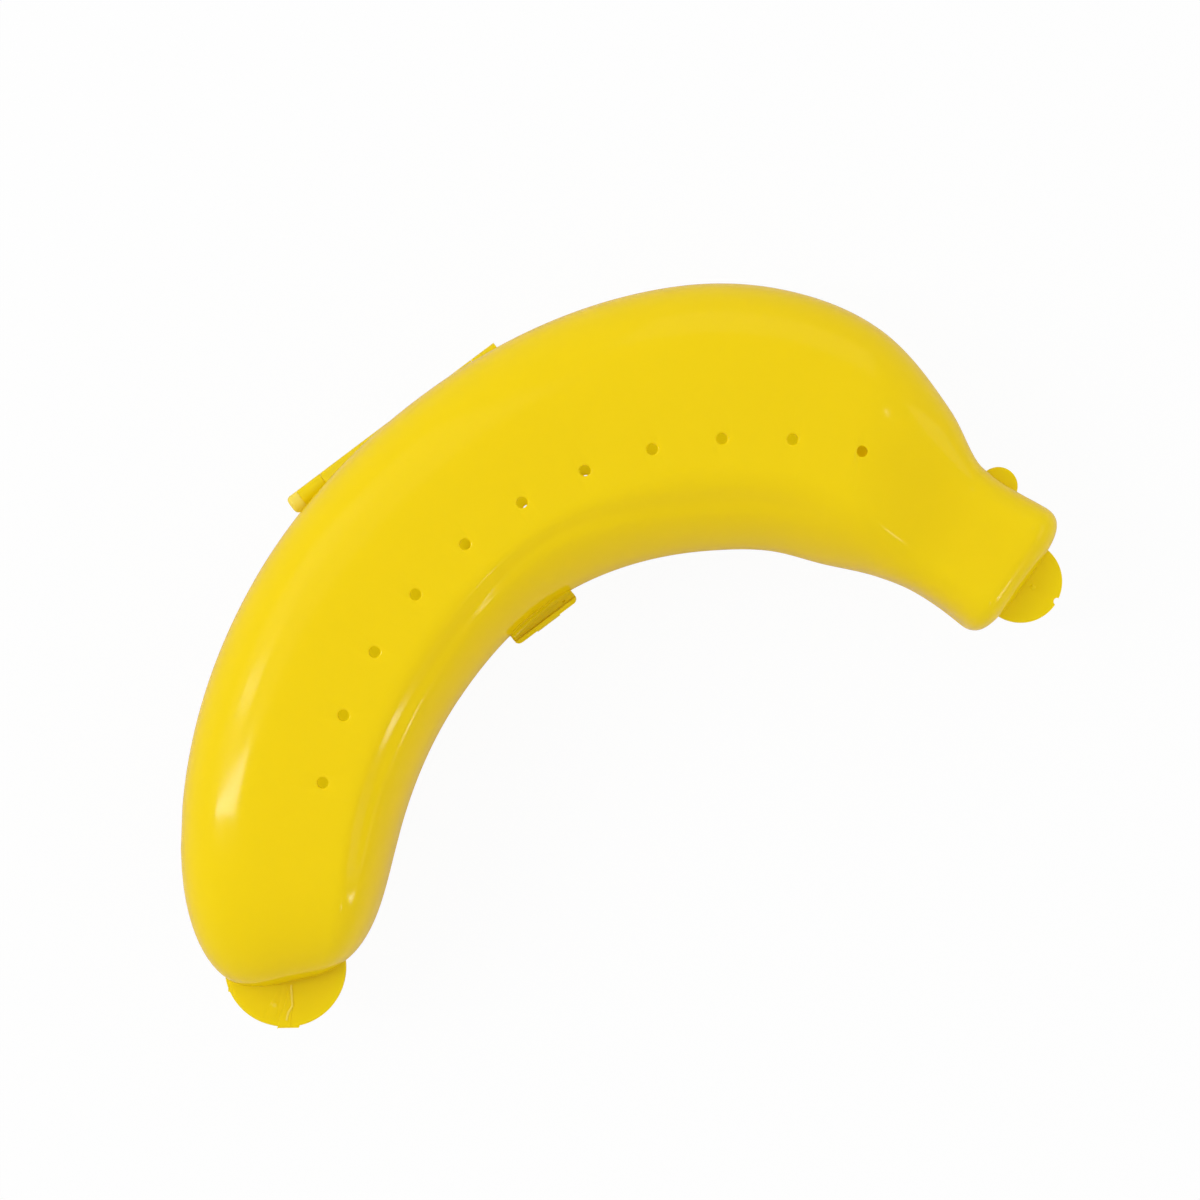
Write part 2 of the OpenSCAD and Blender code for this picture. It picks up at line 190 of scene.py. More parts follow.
def end_tree(geometry, finish):
    """Ends a tree in plain geometry with its material."""
    plain = geometry.node("GeometryNodeRealizeInstances", {"Geometry": geometry})
    painted = plain.node("GeometryNodeSetMaterial", {"Geometry": plain, "Material": finish})
    exit_node = geometry.tree.nodes.new("NodeGroupOutput")
    geometry.feed(exit_node.inputs[0], painted)
    return geometry.tree


def new_mesh(points, edges=(), faces=(), **columns):
    """A mesh with named number columns on its points."""
    mesh = bpy.data.meshes.new("piece")
    mesh.from_pydata([tuple(p) for p in points], edges, faces)
    for name, values in columns.items():
        column = mesh.attributes.new(name, "FLOAT", "POINT")
        column.data.foreach_set("value", np.resize(np.asarray(values, np.float32), len(points)))
    return mesh


def shown(mesh, name="piece"):
    """An object in the scene for a mesh."""
    thing = bpy.data.objects.new(name, mesh)
    bpy.context.scene.collection.objects.link(thing)
    return thing


def flat_mesh(thing):
    """The plain mesh of an object after its modifiers, with the object taken away."""
    bpy.context.view_layer.update()
    mesh = bpy.data.meshes.new_from_object(thing.evaluated_get(bpy.context.evaluated_depsgraph_get()))
    bpy.data.objects.remove(thing)
    return mesh


def grown(tree, host, **inputs):
    """The plain mesh that a tree makes from a host mesh."""
    thing = shown(host)
    modifier = thing.modifiers.new("tree", "NODES")
    modifier.node_group = tree
    for item in tree.interface.items_tree:
        if item.in_out == "INPUT" and item.name in inputs:
            modifier[item.identifier] = inputs[item.name]
    mesh = flat_mesh(thing)
    work = bmesh.new()
    work.from_mesh(mesh)
    bmesh.ops.remove_doubles(work, verts=work.verts, dist=1e-7)
    bmesh.ops.recalc_face_normals(work, faces=work.faces)
    work.to_mesh(mesh)
    work.free()
    return mesh


section_columns = ("inset", "tilt", "side", "floor", "lift", "padded")
end_rings, body_rings, half_points = 22, 190, 34
chart_step, groove_width = 0.25, 0.12
sweep_sizes = dict(
    bend_radius=bend_radius, tip_angle=tip_angle, stem_angle=stem_angle, stem_shift=stem_shift,
    tip_round=tip_round, stem_round=stem_round, outer_power=outer_power, tip_power=tip_power,
    tip_wall_power=tip_wall_power, stem_power=stem_power, stem_wall_power=stem_wall_power,
    crown_flat=crown_flat, groove_width=groove_width, chart_step=chart_step)


def sweep_tree():
    """Sweeps a closed section round the bend. The host's points carry two charts: the body's sizes by
    bearing, and the section's columns by point number."""
    wire = new_tree(
        "section swept round the bend", **dict.fromkeys(sweep_sizes, "Float"), centre="Vector",
        rim_level="Float", direction="Float", end_rings="Int", body_rings="Int", section_points="Int")
    chart = wire["Geometry"]
    rings = wire["end_rings"] * 2 + wire["body_rings"]
    columns = wire["section_points"] + 1
    index = chart.node("GeometryNodeInputIndex")
    j = (index / columns).math("FLOOR")
    k = index - j * columns
    grid = chart.node("GeometryNodeMeshGrid", {"Vertices X": rings + 1, "Vertices Y": columns})

    def of_section(name):
        value = chart.node("GeometryNodeInputNamedAttribute", {"Name": name})
        point = k.math("MODULO", wire["section_points"])
        return chart.node("GeometryNodeSampleIndex", {"Geometry": chart, "Value": value, "Index": point})

    inset, tilt, side, floor, lift, padded = map(of_section, section_columns)
    stem_end = inset * (180 / pi) / (wire["bend_radius"] - wire["stem_shift"]) - wire["stem_angle"]
    tip_end = wire["tip_angle"] - inset * (180 / pi) / wire["bend_radius"]

    def back_from_end(ring, power):
        """How far a ring of a rounded end lies back from the body, as a share of the rounding."""
        turn = (ring / wire["end_rings"]).math("MINIMUM", 1) * (pi / 2)
        return turn.math("COSINE").math("MAXIMUM", 0) ** (2 / power)

    def bow(share, power):
        """What is left of a size that far back, on a rounded end."""
        return (1 - share ** power).math("MAXIMUM", 0) ** (1 / power)

    stem_back, tip_back = back_from_end(j, wire["stem_power"]), back_from_end(rings - j, wire["tip_power"])
    progress = ((j - wire["end_rings"]) / wire["body_rings"]).math("MAXIMUM", 0).math("MINIMUM", 1)
    body_start, body_end = stem_end + wire["stem_round"], tip_end - wire["tip_round"]
    bearing = (body_start + (body_end - body_start) * progress
               - wire["stem_round"] * stem_back + wire["tip_round"] * tip_back)
    closing = bow(stem_back, wire["stem_power"]) * bow(tip_back, wire["tip_power"])
    sinking = bow(stem_back, wire["stem_wall_power"]) * bow(tip_back, wire["tip_wall_power"])

    line = chart.node("GeometryNodeMeshToCurve", {"Mesh": chart})
    reached = (bearing + wire["stem_angle"]) * wire["chart_step"]

    def of_body(name):
        value = chart.node("GeometryNodeInputNamedAttribute", {"Name": name})
        return chart.node("GeometryNodeSampleCurve", {"Curves": line, "Value": value, "Length": reached},
                          mode="LENGTH", use_all_curves=True)

    middle, half, depth, crest = map(of_body, ("middle", "half", "depth", "crest"))
    pad, slant, inner_power = map(of_body, ("pad", "slant", "inner_power"))
    groove, groove_at = of_body("groove"), of_body("groove_at")
    reach = half - inset - pad * padded
    power = wire["outer_power"] + (inner_power - wire["outer_power"]) * (1 - side) / 2
    flat_edge = crest + side * (wire["crown_flat"] - inset) / 2
    share = tilt.math("COSINE").math("MAXIMUM", 0) ** (2 / power)
    across = flat_edge + (side * reach - flat_edge) * share
    turn = (bearing + slant * closing * across / reach) * (pi / 180)
    radius = middle + across * closing
    off_groove = (share - groove_at) / wire["groove_width"]
    dip = groove * (1 - side) / 2 * (off_groove * off_groove * -1).math("EXPONENT")
    rise = ((depth - inset) * tilt.math("SINE") ** (2 / power) - dip) * sinking
    level = rise.math("MAXIMUM", floor) + lift
    centre_x = chart.node("ShaderNodeSeparateXYZ", {"Vector": wire["centre"]})
    centre_y = chart.node("ShaderNodeSeparateXYZ", {"Vector": wire["centre"]}, out="Y")
    x = centre_x - radius * turn.math("SINE")
    y = centre_y + radius * turn.math("COSINE")
    z = wire["rim_level"] + wire["direction"] * level
    spot = chart.node("ShaderNodeCombineXYZ", {"X": x * MM, "Y": y * MM, "Z": z * MM})
    shaped = chart.node("GeometryNodeSetPosition", {"Geometry": grid, "Position": spot})
    closed = chart.node("GeometryNodeMergeByDistance", {"Geometry": shaped, "Distance": 1e-6})
    return end_tree(closed, wire["finish"])


swept = sweep_tree()
bearings = np.arange(-stem_angle, tip_angle + chart_step / 2, chart_step)
falling = ease((bearings - fall_start) / (fall_end - fall_start))
tip_fullness, fullness_start, fullness_reach = 0.6, -6.0, 50.0
rounding = np.maximum(falling, tip_fullness * ease((bearings - fullness_start) / fullness_reach))
hinge_bearing = np.degrees(hinge_offset / outer_rim(0))
hinge_reach = np.degrees(hinge_length / 2 / outer_rim(0))
pad_taper = 5
# A shallow groove runs along the wall inside the bend, nearest the crown at its peak, and fades out
# towards both ends.
groove_depth, groove_low, groove_rise = 0.8, 0.42, 0.18
groove_peak, groove_peak_reach = -6.0, 14
groove_start, groove_start_reach, groove_stop, groove_stop_reach = -50, 12, 60, 16
groove_fade = (ease((bearings - groove_start) / groove_start_reach)
               * ease((groove_stop - bearings) / groove_stop_reach))
groove_hump = np.exp(-((bearings - groove_peak) / groove_peak_reach) ** 2)
body_chart = {
    "groove": groove_depth * groove_fade,
    "groove_at": groove_low - groove_rise * groove_hump,
    "middle": bend_radius + along(bearings, 1),
    "half": along(bearings, 2) / 2,
    "depth": between(half_depth, stem_depth, falling),
    "crest": between(-crown_inset, 0, falling),
    "pad": hinge_pad * (1 - ease((np.abs(bearings - hinge_bearing) - hinge_reach) / pad_taper)),
    "slant": stem_slant * ease((slant_start - bearings) / (slant_start + stem_angle)),
    "inner_power": between(ridge_power, outer_power, rounding),
}


def skin(inset, floor):
    """Section points over one face of the wall, from the rim inside the bend to the rim outside it: inset,
    tilt, side, least depth, lift, and whether the hinge pads it."""
    tilts = np.linspace(0, pi / 2, half_points + 1)
    points = []
    for side, order in ((-1, tilts), (1, tilts[::-1])):
        padded = float(side > 0 and inset >= wall)
        points += [(inset, tilt, side, floor * (tilt > 0), floor * (tilt == 0), padded) for tilt in order]
    return points


def rim_point(inset, level, side):
    """One section point on the rim's edge or its step."""
    return (inset, 0.0, side, 0.0, level, float(side > 0 and inset > wall - 2 * lip_round))


def half_shell(section, rim_level, direction):
    """A body swept from a closed section."""
    columns = dict(zip(section_columns, zip(*section)))
    count = len(bearings)
    # Along the host's line, a length is the bearing from the stem times the chart's step.
    spacing = chart_step * chart_step
    host = new_mesh([(i * spacing, 0, 0) for i in range(count)],
                    [(i, i + 1) for i in range(count - 1)], **body_chart, **columns)
    return grown(swept, host, **sweep_sizes, centre=(*centre, 0.0), rim_level=rim_level, direction=direction,
                 end_rings=end_rings, body_rings=body_rings, section_points=len(section))


def walled_section(step_edges, inner_floor):
    """The wall's closed section: outer face, rounded rim with its step, inner face, and the rim again."""
    rim_edge = [(rim_round * (1 - cos(a)), rim_round * (1 - sin(a))) for a in np.radians((30, 60, 90))]
    rim = rim_edge + step_edges
    outside = [rim_point(inset, level, 1) for inset, level in rim]
    inside = [rim_point(inset, level, -1) for inset, level in reversed(rim)]
    return skin(0.0, rim_round) + outside + skin(wall, inner_floor)[::-1] + inside


def lathe_tree():
    """Turns a profile, a line of points at radius X and height Z, about the Z axis."""
    wire = new_tree("profile turned about an axis", segments="Int")
    profile = wire["Geometry"]
    points = profile.node("GeometryNodeAttributeDomainSize", {"Geometry": profile}, out="Point Count")
    columns = wire["segments"] + 1
    index = profile.node("GeometryNodeInputIndex")
    j = (index / columns).math("FLOOR")
    turn = (index - j * columns) / wire["segments"] * (2 * pi)
    here = profile.node("GeometryNodeInputPosition")
    spot = profile.node("GeometryNodeSampleIndex", {"Geometry": profile, "Value": here, "Index": j},
                        data_type="FLOAT_VECTOR")
    radius = profile.node("ShaderNodeSeparateXYZ", {"Vector": spot}, out="X")
    height = profile.node("ShaderNodeSeparateXYZ", {"Vector": spot}, out="Z")
    grid = profile.node("GeometryNodeMeshGrid", {"Vertices X": points, "Vertices Y": columns})
    around = profile.node("ShaderNodeCombineXYZ",
                          {"X": radius * turn.math("COSINE"), "Y": radius * turn.math("SINE"), "Z": height})
    shaped = profile.node("GeometryNodeSetPosition", {"Geometry": grid, "Position": around})
    closed = profile.node("GeometryNodeMergeByDistance", {"Geometry": shaped, "Distance": 1e-7})
    return end_tree(closed, wire["finish"])


lathe = lathe_tree()


def turned(profile, segments):
    """A closed mesh from half its outline, in millimetres, turned about the Z axis."""
    points = [(radius * MM, 0, height * MM) for radius, height in profile]
    host = new_mesh(points, [(i, i + 1) for i in range(len(points) - 1)])
    return grown(lathe, host, segments=segments)


def rod_profile(radius, low, high, edge):
    """Half the outline of a rod or disc with rounded edges."""
    arc = np.linspace(0, pi / 2, 6)
    foot = [(radius - edge + edge * sin(a), low + edge - edge * cos(a)) for a in arc]
    head = [(radius - edge + edge * cos(a), high - edge + edge * sin(a)) for a in arc]
    return [(0, low), *foot, *head, (0, high)]


def lengthwise(mesh, y, z):
    """Lays a turned piece along X, on an axis at that Y and Z."""
    mesh.transform(Matrix.Translation((0, y * MM, z * MM)) @ Matrix.Rotation(pi / 2, 4, "Y"))
    return mesh


def upright(mesh, spot):
    """Stands a turned piece at a spot."""
    mesh.transform(Matrix.Translation(spot * MM))
    return mesh


def drawn_out(rings):
    """A closed mesh through outlines with as many points."""
    count, last = len(rings[0]), len(rings[0]) * (len(rings) - 1)
    sides = [(low + i, low + (i + 1) % count, low + count + (i + 1) % count, low + count + i)
             for low in range(0, last, count) for i in range(count)]
    points = [point for ring in rings for point in ring]
    mesh = new_mesh(points, (), [tuple(range(count)), tuple(range(last, last + count)), *sides])
    work = bmesh.new()
    work.from_mesh(mesh)
    bmesh.ops.recalc_face_normals(work, faces=work.faces)
    work.to_mesh(mesh)
    work.free()
    return mesh


def prism(outline, start, stop):
    """A closed outline in Y and Z, drawn out along X."""
    return drawn_out([[(x * MM, y * MM, z * MM) for y, z in outline] for x in (start, stop)])


def shelf(outline, low, high):
    """A closed outline in X and Y, drawn upwards."""
    return drawn_out([[(x * MM, y * MM, z * MM) for x, y in outline] for z in (low, high)])


def softened(mesh, width):
    """Rounds every real edge of a mesh."""
    work = bmesh.new()
    work.from_mesh(mesh)
    bmesh.ops.remove_doubles(work, verts=work.verts, dist=1e-7)
    bmesh.ops.dissolve_limit(work, angle_limit=radians(1), verts=work.verts, edges=work.edges)
    real = [e for e in work.edges if e.is_manifold and e.calc_face_angle() > radians(30)]
    bmesh.ops.bevel(work, geom=real, offset=width * MM, segments=3, profile=0.5, affect="EDGES",
                    clamp_overlap=True)
    work.to_mesh(mesh)
    work.free()
    return mesh


def carved(mesh, *steps):
    """A closed mesh after boolean steps, each an operation and the closed meshes that it takes."""
    body, tools = shown(mesh), []
    for operation, others in steps:
        for other in others:
            tools.append(shown(other))
            modifier = body.modifiers.new("step", "BOOLEAN")
            modifier.operation, modifier.solver, modifier.object = operation, "MANIFOLD", tools[-1]
    result = flat_mesh(body)
    for tool in tools:
        bpy.data.objects.remove(tool)
    return result


def dressed(mesh, name, material, sharp=32):
    """A finished piece: smooth faces, crisp edges and one material."""
    mesh.materials.clear()
    mesh.materials.append(material)
    mesh.polygons.foreach_set("material_index", np.zeros(len(mesh.polygons), np.int32))
    mesh.shade_smooth()
    mesh.set_sharp_from_angle(angle=radians(sharp))
    return shown(mesh, name)


def vent_tree():
    """Sets a copy of the host at each air hole, in a row round the bend."""
    wire = new_tree("row of air holes", count="Int", pitch_angle="Float", middle_bearing="Float",
                    row_radius="Float", centre="Vector")
    drill = wire["Geometry"]
    index = drill.node("GeometryNodeInputIndex")
    bearing = wire["middle_bearing"] + (index - (wire["count"] - 1) / 2) * wire["pitch_angle"]
    turn = bearing * (pi / 180)
    offset = drill.node("ShaderNodeCombineXYZ", {"X": wire["row_radius"] * turn.math("SINE") * -MM,
                                                 "Y": wire["row_radius"] * turn.math("COSINE") * MM})
    spot = drill.node("ShaderNodeVectorMath", {0: offset, 1: wire["centre"]}, operation="ADD")
    points = drill.node("GeometryNodePoints", {"Count": wire["count"], "Position": spot})
    row = drill.node("GeometryNodeInstanceOnPoints", {"Points": points, "Instance": drill})
    return end_tree(row, wire["finish"])


vent_row = vent_tree()
vent_count, vent_diameter, vent_pitch, vent_radius, vent_shift, vent_bearing = 11, 2.2, 14.4, 89.7, 1.7, -5.4
vent_mouth, vent_exit, mouth_slope, brim_reach = 0.5, 0.2, 14, 0.4
drill_top, drill_past = 1.0, 0.3


def vents(crown, direction):
    """Cutters for the air holes: drilled from the crown inwards, with a rounded mouth and a broken inner
    edge."""
    hole = vent_diameter / 2
    mouth = [(hole + vent_mouth * (1 - sin(a)), -vent_mouth * (1 - cos(a)))
             for a in np.radians(np.arange(mouth_slope, 91, 12.6))]
    brim = (mouth[0][0] + brim_reach * cos(radians(mouth_slope)),
            mouth[0][1] + brim_reach * sin(radians(mouth_slope)))
    back = [(hole + vent_exit * (1 - cos(a)), vent_exit * (1 - sin(a)) - wall)
            for a in np.radians((0, 30, 60, 80))]
    drill_end = -wall - drill_past
    profile = [(0, drill_top), (brim[0], drill_top), brim, *mouth, *back,
               (back[-1][0] + drill_past, drill_end), (0, drill_end)]
    drill = turned([(radius, crown + direction * height) for radius, height in profile], segments=40)
    return grown(vent_row, drill, count=vent_count, pitch_angle=float(np.degrees(vent_pitch / vent_radius)),
                 middle_bearing=vent_bearing, row_radius=vent_radius,
                 centre=(centre[0] * MM, (centre[1] + vent_shift) * MM, 0.0))


tab_thickness, tab_root, tab_edge, trim, plug_reach = 1.5, 0.6, 0.35, 0.01, 6.0
tip_tab_radius, stem_tab_radius, ear_radius = 12.6, 8.8, 4.1
tip_tab_set, stem_tab_set, ear_angle = 2.8, 0.5, 69.5
base_tab_shift, stem_tab_shift = 1.9, 0.5
tip_bearing = tip_angle - np.degrees(tip_tab_set / bend_radius)
stem_tab_reach = bend_radius - stem_shift + stem_tab_shift
stem_bearing = np.degrees(stem_tab_set / stem_tab_reach) - stem_angle


def tab(spot, radius, hollow, marks=()):
    """A round tab at the rim, cut off inside the wall so that the hollow stays clear."""
    disc = upright(turned(rod_profile(radius - trim, 0, tab_thickness, tab_edge), segments=128), spot)
    return carved(disc, ("DIFFERENCE", [hollow.copy()]), *marks)


def hollow_plug(rim_level, direction):
    """The room inside the wall at a tab's root, past the rim."""
    section = skin(tab_root, 0.0)
    first, last = section[0], section[-1]
    section[0], section[-1] = (*first[:4], -plug_reach, 0.0), (*last[:4], -plug_reach, 0.0)
    return half_shell(section, rim_level, direction)


knuckle_length, barrel_radius, pin_radius, pin_head_length = 6.0, 2.05, 0.9, 2.9
end_gap, side_gap, face_gap, knuckle_edge, pocket_edge = 0.2, 0.3, 0.1, 0.06, 0.1
gusset_depth, gusset_height, gusset_gap = 1.4, 5.0, 0.02
opening_angle, swing_spare, relief_width, relief_reach = 140.0, 2, 6.0, 45
hinge_left, hinge_right = pin_low.x, pin_high.x
head_end = hinge_left + pin_head_length
left_knuckle_end, right_knuckle_start = head_end + knuckle_length, hinge_right - knuckle_length
barrel_start, barrel_end = left_knuckle_end + face_gap, right_knuckle_start - face_gap


def knuckle(start, stop, direction):
    """A hinge knuckle and the gusset that ties it to the wall."""
    corner = barrel_radius * sin(pi / 4)
    foot = direction * (parting_gap / 2 + gusset_gap)
    gusset = [(-gusset_depth, foot), (0, foot), (corner, direction * corner),
              (-gusset_depth, direction * gusset_height)]
    barrel = turned(rod_profile(barrel_radius - trim, start, stop, knuckle_edge), segments=64)
    return [lengthwise(barrel, hinge_y, hinge_z),
            prism([(hinge_y + y, hinge_z + z) for y, z in gusset], start + knuckle_edge, stop - knuckle_edge)]


def pocket(start, stop):
    """Room that a shell leaves round a knuckle of the other shell."""
    profile = rod_profile(barrel_radius + side_gap, start - end_gap, stop + end_gap, pocket_edge)
    return lengthwise(turned(profile, segments=64), hinge_y, hinge_z)


def relief(direction):
    """The bevel on a wall beside the hinge axis, which lets the lid swing open."""
    drop = direction * relief_width * np.tan(radians(opening_angle / 2 + swing_spare))
    outline = [(0, 0), (relief_width, 0), (relief_width, drop)]
    return prism([(hinge_y + y, hinge_z + z) for y, z in outline],
                 centre[0] - relief_reach, centre[0] + relief_reach)


bore_past = 1


def bore(radius, start, stop, y, z):
    """A cutter for a pin's hole, a little longer than the pin."""
    low, high = start - bore_past, stop + bore_past
    return lengthwise(turned([(0, low), (radius, low), (radius, high), (0, high)], segments=48), y, z)


# The latch pin of the frame says where the latch turns.
latch_low, latch_high = (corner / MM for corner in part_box("latch_pin"))
latch_x, latch_y, latch_z = (latch_low + latch_high) / 2
lug_width, lug_radius, lug_root, lug_edge, latch_pin_radius = 6.0, 1.2, 4.0, 0.12, 0.5
lug_arc = [(latch_y - lug_radius * sin(a), latch_z + lug_radius * cos(a)) for a in np.linspace(0, pi, 17)]
lug_back = [(latch_y + lug_root, latch_z - lug_radius), (latch_y + lug_root, latch_z + lug_radius)]
lug = softened(prism(lug_arc + lug_back, latch_x - lug_width / 2, latch_x + lug_width / 2), lug_edge)

# Lip at the rim, left out along the hinge.
lip_inset = wall - lip_thickness
lip_edges = [(lip_inset, 0.0), (lip_inset, lip_round - lip_height), (lip_inset + lip_round, -lip_height),
             (wall - lip_round, -lip_height)]
lip_stop, lip_cut = 6.0, 9.0
lip_reach, hinge_middle = hinge_length / 2 + lip_stop, centre[0] - hinge_offset
gap_low, gap_high = base_rim + trim, base_rim + 2 * lip_height
gap_outline = [(hinge_y - lip_cut, gap_low), (hinge_y + lip_cut, gap_low), (hinge_y + lip_cut, gap_high),
               (hinge_y - lip_cut, gap_high)]
lip_gap = prism(gap_outline, hinge_middle - lip_reach, hinge_middle + lip_reach)

# Tabs at the tip, the stem and the ear beside the stem, with the marks that the mould left on them: a bite
# in an edge, a low round pip and a spur.
base_tab_level = base_rim - parting_gap - tab_thickness
base_plug = hollow_plug(base_rim, -1)
notch_angle, notch_radius, notch_low, notch_high = radians(-66), 0.8, -2, 4
stem_tab_at = place(stem_tab_reach, stem_bearing, base_tab_level)
notch_at = stem_tab_at + stem_tab_radius * Vector((cos(notch_angle), sin(notch_angle), 0))
notch_profile = [(0, notch_low), (notch_radius, notch_low), (notch_radius, notch_high), (0, notch_high)]
tab_notch = upright(turned(notch_profile, segments=32), notch_at)
fan_mark_at = Vector((87.67, -51.8, base_tab_level + tab_thickness))
fan_mark_profile = [(0, -0.4), (0.7, -0.4), (0.6, 0.0), (0.45, 0.1), (0.2, 0.17), (0, 0.18)]
fan_mark = upright(turned(fan_mark_profile, segments=24), fan_mark_at)
spur_plan = [(-99.33, -16.8), (-100.1, -17.8), (-99.88, -18.1), (-99.13, -18.4)]
spur_low, spur_high = base_tab_level + 0.3, base_tab_level + 1.2
tab_spur = shelf(spur_plan, spur_low, spur_high)
tip_tab_at = place(bend_radius + tip_shift + base_tab_shift, tip_bearing, base_tab_level)
base_tabs = [
    tab(tip_tab_at, tip_tab_radius, base_plug),
    tab(stem_tab_at, stem_tab_radius, base_plug, [("DIFFERENCE", [tab_notch])]),
    tab(place(outer_rim(-ear_angle) - tab_root, -ear_angle, base_tab_level), ear_radius, base_plug),
]
base_mesh = carved(
    half_shell(walled_section(lip_edges, lip_round - lip_height), base_rim, -1),
    ("DIFFERENCE", [vents(0.0, -1), relief(-1), pocket(barrel_start, barrel_end),
                    pocket(hinge_left, head_end), lip_gap]),
    ("UNION", [*base_tabs, fan_mark, tab_spur, *knuckle(head_end, left_knuckle_end, -1),
               *knuckle(right_knuckle_start, hinge_right, -1), lug]),
    ("DIFFERENCE", [bore(pin_radius, hinge_left, hinge_right, hinge_y, hinge_z),
                    bore(latch_pin_radius, latch_low.x, latch_high.x, latch_y, latch_z)]))


shell_pale, shell_deep, shell_roughness = (0.93, 0.785, 0.007), (0.91, 0.755, 0.005), 0.13
translucence, skin_gloss = 0.5, 0.2


def moulded_plastic(name, pale, deep, roughness, pale_marks=None):
    """Glossy moulded polypropylene that lets some light through: faint clouding from the melt, an
    orange-peel skin, long shallow waves from shrinkage, and fine rubs in the gloss."""
    material = bpy.data.materials.new(name)
    material.use_nodes = True
    shader = material.node_tree.nodes["Principled BSDF"]
    start = Wire(material.node_tree)
    spot = start.node("ShaderNodeTexCoord", out="Object")
    cloud = start.node("ShaderNodeTexNoise",
                       {"Vector": spot, "Scale": 28.0, "Detail": 3.0, "Roughness": 0.55})
    flow = start.node("ShaderNodeTexNoise", {"Vector": spot, "Scale": 90.0, "Detail": 2.0, "Distortion": 1.2})
    wave = start.node("ShaderNodeTexNoise", {"Vector": spot, "Scale": 42.0, "Detail": 1.0})
    peel = start.node("ShaderNodeTexNoise", {"Vector": spot, "Scale": 620.0, "Detail": 2.0})
    drawn = start.node("ShaderNodeMapping",
                       {"Vector": spot, "Rotation": (0.2, 0.1, 0.6), "Scale": (35.0, 1400.0, 1400.0)})
    rub = start.node("ShaderNodeTexNoise", {"Vector": drawn, "Scale": 1.0, "Detail": 1.0})
    rubs = start.node("ShaderNodeMapRange", {"Value": rub, "From Min": 0.66, "From Max": 0.78})
    shade = cloud * 0.7 + flow * 0.3
    colour = start.node("ShaderNodeMix", {"Factor": shade, "A": (*pale, 1), "B": (*deep, 1)},
                        data_type="RGBA")
    # Optional pale marks painted into the colour, such as the lid's gate whitening with its painted
    # highlight.
    if pale_marks:
        colour = pale_marks(start, spot, colour)
    bump = start.node("ShaderNodeBump",
                      {"Height": wave * 0.8 + peel * 0.02, "Strength": 0.35, "Distance": 0.0006})
    start.feed(shader.inputs["Base Color"], colour)
    uneven = (peel - 0.5) * 0.05 + (cloud - 0.5) * 0.06 + rubs * 0.03
    start.feed(shader.inputs["Roughness"], roughness + uneven)
    start.feed(shader.inputs["Normal"], bump)
    shader.inputs["Specular IOR Level"].default_value = skin_gloss
    through = start.node("ShaderNodeBsdfTranslucent", {"Color": (*pale, 1)})
    surface = Wire(start.tree, shader.outputs[0])
    wall_glow = start.node("ShaderNodeMixShader", {0: translucence, 1: surface, 2: through})
    start.feed(material.node_tree.nodes["Material Output"].inputs["Surface"], wall_glow)
    return material


shell_plastic = moulded_plastic("yellow_polypropylene", shell_pale, shell_deep, shell_roughness)
base = dressed(base_mesh, "base_shell_moulding", shell_plastic)
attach(base, "base")
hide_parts("base_shell")


# Latch pin: a short rod of paler plastic, cut to length and pressed through the base's lug. The clip
# turns on its two ends.
pin_pale, pin_deep, pin_roughness, latch_pin_edge = (0.94, 0.82, 0.16), (0.92, 0.78, 0.12), 0.25, 0.12
pin_plastic = moulded_plastic("pale_pin_plastic", pin_pale, pin_deep, pin_roughness)
latch_rod = turned(rod_profile(latch_pin_radius, latch_low.x, latch_high.x, latch_pin_edge), segments=32)
latch_pin = dressed(lengthwise(latch_rod, latch_y, latch_z), "latch_pin_rod", pin_plastic)
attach(latch_pin, "base")
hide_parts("latch_pin")


# Latch clip: a small tongue moulded in the shells' polypropylene, on two eyes that turn on the latch pin.
# Its nose closes over the lid's catch, and every edge has the small radius of its mould.
clip_edge, clip_sharp = 0.1, 40
clip_mesh = softened(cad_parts["latch_clip"].data.copy(), clip_edge)
clip = dressed(clip_mesh, "latch_clip_moulding", shell_plastic, sharp=clip_sharp)
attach(clip, "latch")
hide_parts("latch_clip")


# Lid shell: the upper half, moulded like the base, with a rebate in its rim that takes the base's lip.
# It carries the long hinge barrel, the flat catch for the latch, and the tip tab with its torn-off gate.
lid_rim, lip_clearance, pin_clearance = base_rim + parting_gap, 0.3, 0.05
rebate = lip_height + lip_clearance - parting_gap
rebate_inset = wall - lip_thickness - lip_clearance
lid_edges = [(rebate_inset - lip_round, 0.0), (rebate_inset, lip_round), (rebate_inset, rebate),
             (wall - lip_round, rebate)]
lid_plug = hollow_plug(lid_rim, 1)
lid_tab_shift, rim_spare = 1.1, 0.02
tab_middle = place(bend_radius + tip_shift + lid_tab_shift, tip_bearing)
tab_low = lid_rim + rim_spare
tab_top = tab_low + tab_thickness
lid_tab = tab(tab_middle + Vector((0, 0, tab_low)), tip_tab_radius, lid_plug)
gate_out, gate_across = Vector((-0.601, -0.799, 0)), Vector((0.799, -0.601, 0))


def on_tab(*spots):
    """Places on the lid's tip tab, across its gate and outwards along it from the tab's middle."""
    return [(tab_middle + across * gate_across + out * gate_out).xy for across, out in spots]


